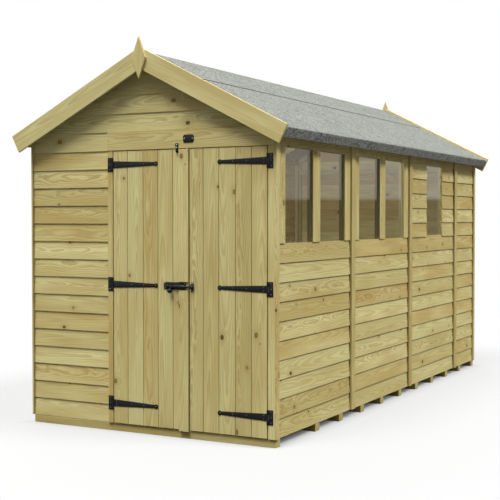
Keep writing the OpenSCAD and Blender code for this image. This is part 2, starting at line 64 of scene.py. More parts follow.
# %% Colours
def linear(hex_colour):
    """Turns a paint-chart hex colour to the linear values that a shader wants."""
    out = []
    for i in (1, 3, 5):
        c = int(hex_colour[i:i + 2], 16) / 255
        out.append(c / 12.92 if c <= 0.04045 else ((c + 0.055) / 1.055) ** 2.4)
    return (*out, 1.0)


print("pale straw in linear light", [round(c, 3) for c in linear("#dcd297")])


# %% Nodes
def put(tree, kind, inputs=None, **settings):
    """Adds a node; inputs maps a socket to a value, or to the output that feeds it."""
    node = tree.nodes.new(kind)
    for name, value in settings.items():
        setattr(node, name, value)
    for key, value in (inputs or {}).items():
        if isinstance(value, bpy.types.NodeSocket):
            tree.links.new(value, node.inputs[key])
        else:
            node.inputs[key].default_value = value
    return node


def new_material(name):
    """A fresh material: its tree and its main shader."""
    material = bpy.data.materials.new(name)
    material.use_nodes = True
    tree = material.node_tree
    return material, tree, tree.nodes["Principled BSDF"]


# %% Arithmetic on nodes
def calc(tree, operation, a, b=0.0, clamp=False):
    """One step of arithmetic."""
    return put(tree, "ShaderNodeMath", {0: a, 1: b}, operation=operation, use_clamp=clamp).outputs[0]


def vector_calc(tree, operation, a, b):
    """One step of arithmetic on a whole vector."""
    return put(tree, "ShaderNodeVectorMath", {0: a, 1: b}, operation=operation).outputs[0]


def ramp(tree, value, low, high, out_low=0.0, out_high=1.0):
    """Eases from one value to another as the input goes from low to high."""
    node = put(tree, "ShaderNodeMapRange", {0: value, 1: low, 2: high, 3: out_low, 4: out_high},
               interpolation_type="SMOOTHSTEP")
    return node.outputs[0]


def noise(tree, place, scale, detail=2.0):
    """Soft random values, from 0 to 1, at a point."""
    node = put(tree, "ShaderNodeTexNoise", {"Vector": place, "Scale": scale, "Detail": detail})
    return node.outputs["Fac"]


def blend_colour(tree, factor, a, b, kind="MIX"):
    """Mixes two colours."""
    node = put(tree, "ShaderNodeMix", {0: factor, 6: a, 7: b}, data_type="RGBA", blend_type=kind)
    return node.outputs[2]


# %% [markdown]
# ## Timber
#
# The boards are pressure-treated softwood: pale straw sapwood with a green cast from the salts,
# brown latewood lines, and a few small knots. A flat picture of wood would repeat from board to
# board, so the wood here is solid: each board is cut out of its own imaginary log. The attribute
# `grain` holds a point's place in that log, in metres, with the trunk along X, and growth rings are
# shells round that axis. The attribute `board` holds three random numbers that are the same all over
# one board: how dark it is, how wavy its figure is and how green the treatment left it.
#
# ### Knots
#
# A knot is the foot of a branch, and the rings bend round it. Spots of plain noise would be ragged, so
# knots are set out in cells. A cell every 420 mm by 110 mm may hold one, 8 to 28 mm across.


# %% Knots
KNOT_CELL = (420 * MM, 110 * MM)
KNOT_STRETCH = 1.35


def knots_in(tree, log, share):
    """Gives how far a point is from its knot, in the knot's own radii, the knot's mask, the halo of
    bent rings round it, and how live it is. share is how many cells out of one have a knot."""
    spread = vector_calc(tree, "MULTIPLY", log, (1 / KNOT_CELL[0], 1 / KNOT_CELL[1], 0.0))
    cells = put(tree, "ShaderNodeTexVoronoi", {"Vector": spread, "Scale": 1.0}, voronoi_dimensions="2D")
    away = vector_calc(tree, "SUBTRACT", spread, cells.outputs["Position"])
    away = vector_calc(tree, "MULTIPLY", away, (KNOT_CELL[0] / KNOT_STRETCH, KNOT_CELL[1], 0.0))
    reach = put(tree, "ShaderNodeVectorMath", {0: away}, operation="LENGTH").outputs["Value"]
    chance, size, life = put(tree, "ShaderNodeSeparateColor", {0: cells.outputs["Color"]}).outputs[:3]
    there = calc(tree, "GREATER_THAN", chance, 1 - share)
    near = calc(tree, "DIVIDE", reach, ramp(tree, size, 0.0, 1.0, 4 * MM, 14 * MM))
    mask = calc(tree, "MULTIPLY", ramp(tree, near, 0.75, 1.15, 1.0, 0.0), there)
    halo = calc(tree, "MULTIPLY", ramp(tree, near, 0.6, 4.5, 1.0, 0.0), there)
    return near, mask, halo, life


# %% [markdown]
# ### Rings
#
# A tree grows a pale band in spring and a hard brown line in late summer. Stripes would look printed,
# because a saw cuts rings at a slant and leaves long arches. So rings are shells round the log's axis,
# bent by slow noise and pushed out round each knot. Real ones are 2 to 4 mm apart, too fine to show on
# a whole shed, and are drawn 7 mm apart.


# %% Rings
RING = 7 * MM


def rings_in(tree, log, figure, halo):
    """How much latewood is at a point, from 0 to 1. figure is how wavy the board is."""
    stretched = vector_calc(tree, "MULTIPLY", log, (2.4, 7.0, 7.0))
    slow = put(tree, "ShaderNodeTexNoise",
               {"Vector": stretched, "Scale": 1.0, "Detail": 3.0, "Roughness": 0.55})
    sway = vector_calc(tree, "SUBTRACT", slow.outputs["Color"], (0.5, 0.5, 0.5))
    strength = ramp(tree, figure, 0.0, 1.0, 12 * MM, 65 * MM)
    pull = put(tree, "ShaderNodeVectorMath", {0: sway, "Scale": strength}, operation="SCALE").outputs[0]
    bent = vector_calc(tree, "ADD", log, pull)
    flat = vector_calc(tree, "MULTIPLY", bent, (0.0, 1.0, 1.0))
    out = put(tree, "ShaderNodeVectorMath", {0: flat}, operation="LENGTH").outputs["Value"]
    out = calc(tree, "ADD", out, calc(tree, "MULTIPLY", halo, 22 * MM))
    phase = calc(tree, "FRACT", calc(tree, "DIVIDE", out, RING))
    return calc(tree, "MULTIPLY", ramp(tree, phase, 0.15, 0.82), ramp(tree, phase, 0.86, 1.0, 1.0, 0.0))


# %% Timber
def timber(name, pale, straw, green, latewood, knot, rough, knots=0.24):
    """Softwood whose rings, streaks and knots follow each board's own log."""
    material, tree, shader = new_material(name)
    log = put(tree, "ShaderNodeAttribute", attribute_name="grain").outputs["Vector"]
    look = put(tree, "ShaderNodeAttribute", attribute_name="board").outputs["Color"]
    dark, figure, tint = put(tree, "ShaderNodeSeparateColor", {0: look}).outputs[:3]
    near, knot_mask, halo, life = knots_in(tree, log, knots)
    late = rings_in(tree, log, figure, halo)

    # Fine streaks 6 mm wide and 400 mm long, and slow patches of colour
    streak = noise(tree, vector_calc(tree, "MULTIPLY", log, (2.5, 160.0, 160.0)), 1.0)
    patch = noise(tree, vector_calc(tree, "MULTIPLY", log, (1.6, 9.0, 9.0)), 1.0)

    # Sapwood first, then the salts' green, the latewood, and the knots over all. A dead knot is dark,
    # and a live one is little darker than the latewood but has a dark rim
    tone = calc(tree, "ADD", dark, ramp(tree, patch, 0.3, 0.7, -0.32, 0.32), clamp=True)
    colour = blend_colour(tree, tone, linear(pale), linear(straw))
    colour = blend_colour(tree, calc(tree, "MULTIPLY", tint, 0.55), colour, linear(green))
    depth = calc(tree, "MULTIPLY", late, ramp(tree, figure, 0.0, 1.0, 0.3, 0.55))
    colour = blend_colour(tree, depth, colour, linear(latewood))
    colour = blend_colour(tree, ramp(tree, streak, 0.5, 0.8, 0.0, 0.4), colour, linear(latewood))
    colour = blend_colour(tree, calc(tree, "MULTIPLY", halo, 0.3), colour, linear(latewood))
    heart = blend_colour(tree, ramp(tree, life, 0.2, 0.6), linear(knot), linear(latewood))
    rim = blend_colour(tree, 0.5, heart, linear(knot), "MULTIPLY")
    core = blend_colour(tree, ramp(tree, near, 0.3, 0.9), heart, rim)
    colour = blend_colour(tree, knot_mask, colour, core)
    tree.links.new(colour, shader.inputs["Base Color"])

    grip = ramp(tree, streak, 0.3, 0.7, rough - 0.06, rough + 0.08)
    tree.links.new(grip, shader.inputs["Roughness"])
    height = calc(tree, "ADD", calc(tree, "MULTIPLY", late, 0.6), streak)
    bump = put(tree, "ShaderNodeBump", {"Strength": 0.35, "Distance": 1.2 * MM, "Height": height})
    tree.links.new(bump.outputs[0], shader.inputs["Normal"])
    shader.inputs["IOR"].default_value = 1.45
    shader.inputs["Specular IOR Level"].default_value = 0.25
    return material


# %% [markdown]
# ### Four kinds of timber
#
# All of it is the same softwood, but not the same grade. The boards may hold knots. Barge boards and
# finials are picked clear of them. Bearers come from a duller pack, and framing is left rough from the
# saw, greyer and less green. One material would do for all of it, but then the hidden framing would
# look as well finished as the boards.

# %% Four kinds of timber
treated_pine = timber("pressure_treated_pine", "#dcd297", "#b99b57", "#bbb67d", "#967b42", "#614a25", 0.66)
clear_pine = timber("clear_treated_pine", "#dcd297", "#b99b57", "#bbb67d", "#967b42", "#4f3b1f", 0.66,
                    knots=0.04)
bearer_pine = timber("treated_bearer_pine", "#d2c98f", "#ae9552", "#b0ac74", "#8f753f", "#4f3b1f", 0.75,
                     knots=0.04)
sawn_pine = timber("rough_sawn_pine", "#c9bd8e", "#b59f68", "#a6a272", "#8c6f42", "#5a4024", 0.8)
for wood in (treated_pine, clear_pine, bearer_pine, sawn_pine):
    print(wood.name, len(wood.node_tree.nodes), "nodes")

# %% [markdown]
# ## Mineral felt
#
# Roofing felt is bitumen sheet with crushed slate rolled into its face. Plain noise would give soft
# clouds, but grit has chips with edges, so the colour comes from cells. Real grit is 1 to 2 mm across,
# too fine to show on a whole roof, and is drawn as chips 8 mm across, each with its own grey, with a
# slow mottle where the grit lies thicker. At the eaves the sheet is folded down, and the fold, which
# faces sideways and gets less light than the slopes, takes a copy of the felt with lighter grit:
# painted light. The cut edges show the black bitumen core.


# %% Grit
CHIP = 8 * MM


def slate_grit(name, dark, light):
    """Grey grit pressed into bitumen."""
    material, tree, shader = new_material(name)
    place = put(tree, "ShaderNodeTexCoord").outputs["Object"]
    chips = put(tree, "ShaderNodeTexVoronoi", {"Vector": place, "Scale": 1 / CHIP})
    shade = put(tree, "ShaderNodeSeparateColor", {0: chips.outputs["Color"]}).outputs[0]
    coarse = ramp(tree, noise(tree, place, 0.4 / CHIP, 1.0), 0.3, 0.7, 0.0, 0.25)
    mottle = ramp(tree, noise(tree, place, 7.0), 0.3, 0.7, -0.05, 0.05)
    mixed = calc(tree, "ADD", calc(tree, "MULTIPLY", shade, 0.75), coarse)
    mixed = calc(tree, "ADD", mixed, mottle, clamp=True)
    tree.links.new(blend_colour(tree, mixed, linear(dark), linear(light)), shader.inputs["Base Color"])
    bump = put(tree, "ShaderNodeBump", {"Strength": 0.5, "Distance": 2 * MM, "Height": shade})
    tree.links.new(bump.outputs[0], shader.inputs["Normal"])
    shader.inputs["Roughness"].default_value = 0.95
    shader.inputs["Specular IOR Level"].default_value = 0.15
    return material


# %% Felt and bitumen
mineral_felt = slate_grit("mineral_felt", "#444743", "#8f918a")
# The fold's copy has lighter grit: painted light on a band that faces sideways and gets less light
fold_felt_painted_lighter = slate_grit("mineral_felt_painted_lighter_at_the_fold", "#444642", "#aeb0a9")
bitumen, tree, shader = new_material("bitumen_edge")
place = put(tree, "ShaderNodeTexCoord").outputs["Object"]
cloud = noise(tree, place, 60.0)
tree.links.new(blend_colour(tree, cloud, linear("#26282a"), linear("#4a4c4c")), shader.inputs["Base Color"])
shader.inputs["Roughness"].default_value = 0.8
print("felts", mineral_felt.name, fold_felt_painted_lighter.name, bitumen.name)

# %% [markdown]
# ## Metal, plastic and glass
#
# Hinges and bolt are pressed steel under a black powder coat. The coat bakes to a fine orange-peel
# texture, so its gloss is broken by noise. The peel is about 1 mm across and is drawn at 4 mm, so that
# it shows. The hinge screws are blackened steel, those of the bolt, catch and plaque are bright zinc,
# and the plaque is moulded black plastic. One function makes all of them, because each is a smooth
# thing whose colour and gloss vary finely.
#
# The panes are horticultural glass. Glass would keep the lamps out of the room, because a ray towards
# a lamp doesn't bend through it, so such rays and soft bounced light pass a clear stand-in instead.


# %% Coats and mouldings
def speckled(name, low, high, grain, rough, metallic=0.0, gloss=0.3):
    """A coat or moulding whose colour and gloss vary a little with a fine grain."""
    material, tree, shader = new_material(name)
    place = put(tree, "ShaderNodeTexCoord").outputs["Object"]
    peel = noise(tree, place, 1 / grain, 3.0)
    tree.links.new(blend_colour(tree, peel, linear(low), linear(high)), shader.inputs["Base Color"])
    tree.links.new(ramp(tree, peel, 0.3, 0.7, rough - 0.07, rough + 0.07), shader.inputs["Roughness"])
    bump = put(tree, "ShaderNodeBump", {"Strength": 0.15, "Distance": 0.3 * MM, "Height": peel})
    tree.links.new(bump.outputs[0], shader.inputs["Normal"])
    shader.inputs["Metallic"].default_value = metallic
    shader.inputs["Specular IOR Level"].default_value = gloss
    return material


# %% Metals and plastic
black_coat = speckled("black_powder_coat", "#161718", "#232424", 4 * MM, 0.46)
zinc = speckled("bright_zinc", "#a9adb0", "#d6d9da", 3 * MM, 0.3, metallic=1.0, gloss=0.5)
blackened_steel = speckled("blackened_steel", "#5a5d5f", "#7a7d7f", 3 * MM, 0.4, metallic=1.0,
                           gloss=0.5)
black_moulding = speckled("moulded_black_plastic", "#1a1b1c", "#262728", 5 * MM, 0.4)
print("metals and plastic", black_coat.name, zinc.name, blackened_steel.name, black_moulding.name)

# %% Glass
glass, tree, shader = new_material("horticultural_glass")
shader.inputs["Base Color"].default_value = linear("#f7f8f6")
shader.inputs["Roughness"].default_value = 0.0
shader.inputs["IOR"].default_value = 1.5
shader.inputs["Transmission Weight"].default_value = 1.0
rays = put(tree, "ShaderNodeLightPath").outputs
clear = put(tree, "ShaderNodeBsdfTransparent", {"Color": linear("#f4f6f3")}).outputs[0]
soft = calc(tree, "MAXIMUM", rays["Is Shadow Ray"], rays["Is Diffuse Ray"])
both = put(tree, "ShaderNodeMixShader", {0: soft, 1: shader.outputs[0], 2: clear}).outputs[0]
tree.links.new(both, tree.nodes["Material Output"].inputs["Surface"])
print(glass.name, len(tree.nodes), "nodes")

# %% [markdown]
# ## A small timber yard
#
# Every timber is a box that has been cut. It could be drawn by its corners, but a maker's steps are
# easier to follow. `log_layers` starts a mesh that can carry grain. `saw` cuts off what is past a plane
# and closes the cut, as a saw leaves it. `ease` takes the sharp arris off every edge, because no real
# board has a perfect edge and the thin highlight there is what makes it read as wood. `grade` gives a
# board its own place in a log.


# %% Saw and plane
def log_layers():
    """An empty mesh that can carry grain."""
    bm = bmesh.new()
    bm.verts.layers.float_vector.new("grain")
    bm.verts.layers.float_color.new("board")
    return bm


def saw(bm, point, away):
    """Cuts off what lies past a plane, and closes the cut."""
    everything = bm.verts[:] + bm.edges[:] + bm.faces[:]
    cut = bmesh.ops.bisect_plane(bm, geom=everything, dist=1e-7, plane_co=point, plane_no=away,
                                 clear_outer=True)
    rim = [e for e in cut["geom_cut"] if isinstance(e, bmesh.types.BMEdge)]
    if rim:
        bmesh.ops.edgeloop_fill(bm, edges=rim)


def ease(bm, width=1.2 * MM, segments=2, edges=None):
    """Rounds the arrises."""
    chosen = edges or [e for e in bm.edges if e.calc_face_angle(0.0) > math.radians(20)]
    bmesh.ops.bevel(bm, geom=chosen, offset=width, offset_type="OFFSET", segments=segments, profile=0.5,
                    affect="EDGES", material=-1, clamp_overlap=True)


# %% Grade a board
def grade(verts, layers, to_board, tone=None):
    """Places a board in its own log and gives it a shade; to_board turns the length to X."""
    start = Vector((rng.uniform(0, 40), rng.uniform(-30, 30) * MM, rng.uniform(12, 85) * MM))
    lean = (rng.uniform(-0.03, 0.03), rng.uniform(-0.035, 0.035))
    dark = rng.random() if tone is None else tone
    figure = rng.random() ** 1.5
    green = rng.uniform(0.25, 1.0)
    for v in verts:
        p = to_board @ v.co
        v[layers[0]] = Vector((p.x, p.y + lean[0] * p.x, p.z + lean[1] * p.x)) + start
        v[layers[1]] = (dark, figure, green, 1.0)


def layers_of(bm):
    """The two layers that grade fills."""
    return bm.verts.layers.float_vector["grain"], bm.verts.layers.float_color["board"]


# %% Add a board
def add_board(bm, size, place, cuts=(), lean=0.0, round_off=1.2 * MM, tone=None):
    """Adds one board: size is length, width and thickness on the board's own X, Y and Z, and place puts
    its middle. lean pushes the top edge back, and cuts are planes that saw it in place."""
    piece = log_layers()
    bmesh.ops.create_cube(piece, size=1.0)
    slant = Matrix.Identity(4)
    slant[2][1] = -lean
    bmesh.ops.transform(piece, matrix=place @ slant @ Matrix.Diagonal((*size, 1.0)), verts=piece.verts)
    for point, away in cuts:
        saw(piece, point, away)
    if not piece.verts:
        piece.free()
        return
    if place.determinant() < 0:
        bmesh.ops.reverse_faces(piece, faces=piece.faces)
    ease(piece, round_off)
    grade(piece.verts, layers_of(piece), place.inverted(), tone)
    join(bm, piece)


def join(bm, piece):
    """Adds a finished board to the mesh of its panel."""
    carrier = bpy.data.meshes.new("carrier")
    piece.to_mesh(carrier)
    piece.free()
    bm.from_mesh(carrier)
    bpy.data.meshes.remove(carrier)


# %% Finish a piece
def finish_piece(bm, name, body, materials, slot, *nodes, smooth=None):
    """Makes the object, lets it ride on its body and hides the nodes that it takes the place of."""
    mesh = bpy.data.meshes.new(name)
    bm.to_mesh(mesh)
    bm.free()
    for material in materials:
        mesh.materials.append(material)
    if smooth is not None:
        mesh.polygons.foreach_set("use_smooth", [True] * len(mesh.polygons))
        mesh.set_sharp_from_angle(angle=math.radians(smooth))
    piece = bpy.data.objects.new(name, mesh)
    bpy.context.scene.collection.objects.link(piece)
    print(name, len(mesh.polygons), "faces")
    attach(piece, body)
    if nodes:
        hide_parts(*nodes)
    return piece


# %% Axes of a board
def axes(length, width, middle):
    """A board's place: unit vectors along its length and width, and its middle."""
    x, y = Vector(length).normalized(), Vector(width).normalized()
    z = x.cross(y)
    m = Matrix((x, y, z)).transposed().to_4x4()
    m.translation = Vector(middle)
    return m


# %% [markdown]
# ## Lapped wall boards
#
# A wall is boarded from the bottom up. Each board leans out over the one below and laps it by 12 mm,
# so rain runs off, and its lower edge throws the fine shadow line that draws the wall. One function
# boards any wall: it is given the wall's direction, the level of the rows, and where the boards
# start and stop, with gaps for windows and cuts for the roof. One sheet with a saw-tooth section would
# be quicker, but its grain would run on from row to row. The top row is sawn under the roof.

# %% Levels and sizes of the boarding
ROW = 119.5 * MM
LAP = 12 * MM
BOARD_T = 7.8 * MM
CLAD_T = 16 * MM
ROOF_PITCH = math.radians(27)
low_corner, high_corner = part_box("rear_wall")
WALL_X = high_corner.x
WALL_Y = high_corner.y
BASE_Z = low_corner.z
PEAK_Z = high_corner.z
SILL_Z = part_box("right_wall_front")[1].z
HEAD_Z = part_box("front_wall")[1].z
EAVES_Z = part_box("left_wall")[1].z
HEAD_ROW = round((HEAD_Z - BASE_Z) / ROW)
SILL_ROW = round((SILL_Z - BASE_Z) / ROW)
UP = Vector((0, 0, 1))
under_peak = UP * (PEAK_Z - 0.3 * MM)
ROOF_CUTS = [(under_peak, Vector((side * math.sin(ROOF_PITCH), 0, math.cos(ROOF_PITCH))))
             for side in (-1, 1)]
print("wall", round(WALL_X, 4), round(WALL_Y, 4), "rows", round((EAVES_Z - BASE_Z) / ROW, 2),
      "sill at row", SILL_ROW, "door head at row", HEAD_ROW)


# %% Board a wall
def board_wall(bm, along, out, face, spans, top, cuts=(), shades=None):
    """Boards a wall. along and out are unit vectors, face is how far out the boards reach, spans gives
    for each row its stretches along the wall, top is the level where the boards stop, and shades may
    give each row's tone from the bottom up, from 0, pale, to 1, straw; on the gable they also paint shade."""
    along, out = Vector(along), Vector(out)
    height = ROW + LAP
    lean = (CLAD_T - BOARD_T) / height
    row = 0
    while BASE_Z + row * ROW < top - 4 * MM:
        z0 = BASE_Z + row * ROW
        for start, stop in spans(row):
            middle_out = face - CLAD_T / 2 - rng.uniform(0, 0.3) * MM
            middle = along * (start + stop) / 2 + out * middle_out + UP * (z0 + height / 2)
            place = axes(along, UP, middle)
            turned = 1 if place.col[2].to_3d().dot(out) > 0 else -1
            z_cut = [(UP * top, UP)] if z0 + height > top else []
            tone = None if shades is None else shades[row % len(shades)] + rng.uniform(-0.08, 0.08)
            add_board(bm, (stop - start, height, BOARD_T), place, z_cut + list(cuts),
                      lean=turned * lean, round_off=0.8 * MM, tone=tone)
        row += 1


# %% Left wall
BAY = 1200 * MM
ends = [-WALL_Y + i * BAY for i in range(4)] + [WALL_Y]
left = log_layers()
low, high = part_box("left_wall")
for start, stop in zip(ends, ends[1:]):
    stretch = (max(start + 1 * MM, low.y), min(stop - 1 * MM, high.y))
    board_wall(left, (0, 1, 0), (-1, 0, 0), WALL_X, lambda row: [stretch], EAVES_Z)
finish_piece(left, "left_wall_boards", "shed", [treated_pine], "treated_timber", "left_wall")

# %% Rear wall
rear = log_layers()
board_wall(rear, (1, 0, 0), (0, 1, 0), WALL_Y, lambda row: [(-WALL_X, WALL_X)], PEAK_Z, ROOF_CUTS)
finish_piece(rear, "rear_wall_boards", "shed", [treated_pine], "treated_timber", "rear_wall")

# %% [markdown]
# ## The front
#
# The boards beside the doors are all short, and those of the gable run right across, except one row
# that meets the plain board over the doors. Treated boards differ from pale to brown. Random tones would
# do, as on the walls behind, but the front is what one looks at, so its rows' tones are listed.
# The gable rows darken toward the apex: partly their own tones, partly painted shade under the barges.

# %% Front panel
PANEL_TONES = (0.3, 0.5, 0.4, 0.1, 0.75, 0.8, 0.5, 0.2, 0.4, 0.1, 0.6, 0.9, 0.85, 0.2, 0.4)
front = log_layers()
post_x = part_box("front_wall")[1].x - 2.5 * MM
board_wall(front, (1, 0, 0), (0, -1, 0), WALL_Y, lambda row: [(-WALL_X, post_x)], HEAD_Z,
           shades=PANEL_TONES)
finish_piece(front, "front_panel_boards", "shed", [treated_pine], "treated_timber", "front_wall")

# %% Gable
# Tones from the door head up; the darkening at the apex is painted shade under the barge boards
GABLE_TONES_AND_SHADE = HEAD_ROW * (0.5,) + (0.15, 0.2, 0.45, 0.6, 0.9, 1.0, 1.0)


def beside_head(row):
    """The first gable row stops at the plain board over the doors."""
    return [(-WALL_X, post_x)] if row == HEAD_ROW else []


def above_head(row):
    """The other gable rows run right across."""
    return [(-WALL_X, WALL_X)] if row > HEAD_ROW else []


gable = log_layers()
board_wall(gable, (1, 0, 0), (0, -1, 0), WALL_Y, beside_head, PEAK_Z, ROOF_CUTS, GABLE_TONES_AND_SHADE)
head_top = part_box("door_head")[1].z
joint = [(UP * (head_top + 2.5 * MM), -UP)]
board_wall(gable, (1, 0, 0), (0, -1, 0), WALL_Y, above_head, PEAK_Z, ROOF_CUTS + joint, GABLE_TONES_AND_SHADE)
print("row over the doors starts at", round(BASE_Z + (HEAD_ROW + 1) * ROW, 4), "and the head ends at",
      round(head_top, 4))
finish_piece(gable, "front_gable_boards", "shed", [treated_pine], "treated_timber", "front_gable")

# %% [markdown]
# ## The windowed wall
#
# The first two bays stop at the sills, where flat frames take over. The third bay is boarded to the
# eaves with a gap in five rows for its single window, and the last half bay is plain. A hole could be
# cut in finished boards, but a carpenter cuts each board to fit beside the window, and then its ends
# have arrises of their own.

# %% Boarded bays
SIDE_TONES = (0.45, 0.8, 0.3, 0.25, 0.6, 0.3, 0.85, 0.65, 0.35, 0.85, 0.75, 0.35, 0.7, 0.75,
              0.5, 0.5, 0.5)
for name, top in (("right_wall_front", SILL_Z), ("right_wall_second", SILL_Z),
                  ("right_wall_rear", EAVES_Z)):
    low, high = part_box(name)
    panel = log_layers()
    board_wall(panel, (0, 1, 0), (1, 0, 0), WALL_X, lambda row: [(low.y, high.y)], top,
               shades=SIDE_TONES)
    finish_piece(panel, name + "_boards", "shed", [treated_pine], "treated_timber", name)

# %% Bay with the single window
PANE_LAP = 8 * MM
WINDOW_W = 412 * MM
single = max(v.co.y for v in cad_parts["window_panes"].data.vertices) - PANE_LAP
low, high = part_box("right_wall_third")
print("single window from", round(single - WINDOW_W, 4), "to", round(single, 4))


def third_spans(row):
    """Rows beside the single window stop at its sides."""
    if SILL_ROW <= row < HEAD_ROW:
        return [(low.y, single - WINDOW_W), (single, high.y)]
    return [(low.y, high.y)]


panel = log_layers()
board_wall(panel, (0, 1, 0), (1, 0, 0), WALL_X, third_spans, EAVES_Z, shades=SIDE_TONES)
finish_piece(panel, "right_wall_third_boards", "shed", [treated_pine], "treated_timber", "right_wall_third")

# %% [markdown]
# ## Plain timbers
#
# Studs, rails, rafters, trims, battens and posts already have their shape, and drawing them again would
# only bring mistakes. Each is taken from the frame, welded, its flat faces made whole, its arrises
# eased and its grain laid along its longest edge, with the widest face as the face of the board.


# %% Solids of a node
WELD = 0.01 * MM


def welded_groups(whole):
    """Numbers the solids of a mesh: gives each point's group and how many groups there are."""
    whole.verts.ensure_lookup_table()
    group = [-1] * len(whole.verts)
    count = 0
    for seed in range(len(whole.verts)):
        if group[seed] >= 0:
            continue
        stack = [seed]
        group[seed] = count
        while stack:
            for edge in whole.verts[stack.pop()].link_edges:
                for v in edge.verts:
                    if group[v.index] < 0:
                        group[v.index] = count
                        stack.append(v.index)
        count += 1
    return group, count


def solids(node):
    """The welded solids of a node, each as its own mesh."""
    whole = log_layers()
    whole.from_mesh(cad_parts[node].data)
    bmesh.ops.remove_doubles(whole, verts=whole.verts, dist=WELD)
    group, count = welded_groups(whole)
    out = []
    for k in range(count):
        one = whole.copy()
        others = [v for v in one.verts if group[v.index] != k]
        bmesh.ops.delete(one, geom=others, context="VERTS")
        bmesh.ops.dissolve_limit(one, angle_limit=math.radians(0.5), verts=one.verts, edges=one.edges)
        out.append(one)
    whole.free()
    return out


# %% Timbers from the frame
def board_axes(bm, grain=None):
    """Turns a solid's longest edge to X and its widest face's normal to Z."""
    longest = max(bm.edges, key=lambda e: round(e.calc_length(), 5))
    x = Vector(grain) if grain else (longest.verts[1].co - longest.verts[0].co).normalized()
    sides = [f for f in bm.faces if abs(f.normal.dot(x)) < 0.3]
    z = max(sides, key=lambda f: round(f.calc_area(), 6)).normal.copy()
    y = z.cross(x).normalized()
    middle = sum((v.co for v in bm.verts), Vector()) / len(bm.verts)
    m = Matrix((x, y, x.cross(y))).to_4x4()
    return m @ Matrix.Translation(-middle)


def timbers(name, node, body, material, slot, round_off=1.2 * MM, grain=None, tone=None):
    """Makes a piece of all the plain timbers in a node."""
    bm = log_layers()
    for one in solids(node):
        to_board = board_axes(one, grain)
        ease(one, round_off)
        shade = None if tone is None else tone + rng.uniform(-0.15, 0.15)
        grade(one.verts, layers_of(one), to_board, shade)
        join(bm, one)
    return finish_piece(bm, name, body, [material], slot, node)


# %% Trims, battens, posts and bearers
for node, round_off, tone, wood in (("corner_trims", 1.5, 0.4, treated_pine),
                                    ("cover_battens", 2.0, 0.75, treated_pine),
                                    ("window_trims", 1.5, 0.4, treated_pine),
                                    ("window_head_boards", 1.2, 0.6, treated_pine),
                                    ("door_posts", 1.5, 0.45, treated_pine),
                                    ("door_head", 1.5, 0.65, treated_pine),
                                    ("left_barge_boards", 2.0, 0.1, clear_pine),
                                    ("right_barge_boards", 2.0, 0.2, clear_pine),
                                    ("floor_bearers", 2.0, 0.65, bearer_pine)):
    timbers(node + "_timber", node, "shed", wood, "treated_timber", round_off * MM, tone=tone)
timbers("finials_timber", "finials", "shed", clear_pine, "treated_timber", 2.5 * MM, (0, 0, 1), 0.3)

# %% Sawn framing
for node in ("end_studs", "end_rails", "side_studs", "side_rails", "ridge_beam", "roof_rafters",
             "eaves_fascias"):
    timbers(node + "_timber", node, "shed", sawn_pine, "sawn_timber")
for side in ("left", "right"):
    timbers(side + "_leaf_ledges_timber", side + "_leaf_ledges", side + "_door", sawn_pine,
            "sawn_timber", 1.5 * MM)
timbers("meeting_strip_timber", "meeting_strip", "left_door", treated_pine, "treated_timber", 2 * MM,
        tone=0.3)

# %% [markdown]
# ## Floor, roof boards and door boards
#
# Floors, roofs and doors are tongued boards laid side by side. The joint shows as a fine dark line.
# It could be cut into one wide board, but then the grain would run on across it, so each board is its
# own box with a narrow gap and eased arrises. In the doors a tongue closes the gap, or daylight would
# show through. The roof boards lie on the slope, and the topmost is sawn plumb at the ridge.

# %% Floor boards
DECK_BOARD = 119 * MM
low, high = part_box("floor_deck")
count = round((high.x - low.x) / DECK_BOARD)
pitch = (high.x - low.x) / count
deck = log_layers()
for i in range(count):
    middle = Vector((low.x + (i + 0.5) * pitch, 0, (low.z + high.z) / 2))
    add_board(deck, (high.y - low.y, pitch - 1 * MM, high.z - low.z), axes((0, 1, 0), (1, 0, 0), middle))
finish_piece(deck, "floor_boards", "shed", [sawn_pine], "sawn_timber", "floor_deck")


# %% Roof boards
for side, node in ((1, "roof_deck_right"), (-1, "roof_deck_left")):
    source = solids(node)[0]
    down = Vector((side * math.cos(ROOF_PITCH), 0, -math.sin(ROOF_PITCH)))
    depths = [down.dot(v.co) for v in source.verts]
    count = round((max(depths) - min(depths)) / DECK_BOARD)
    pitch = (max(depths) - min(depths)) / count
    deck = log_layers()
    for i in range(count):
        one = source.copy()
        near = min(depths) + i * pitch
        saw(one, down * near, -down)
        saw(one, down * (near + pitch - 1 * MM), down)
        to_board = board_axes(one)
        ease(one, 1 * MM)
        grade(one.verts, layers_of(one), to_board)
        join(deck, one)
    source.free()
    finish_piece(deck, node + "_boards", "shed", [sawn_pine], "sawn_timber", node)

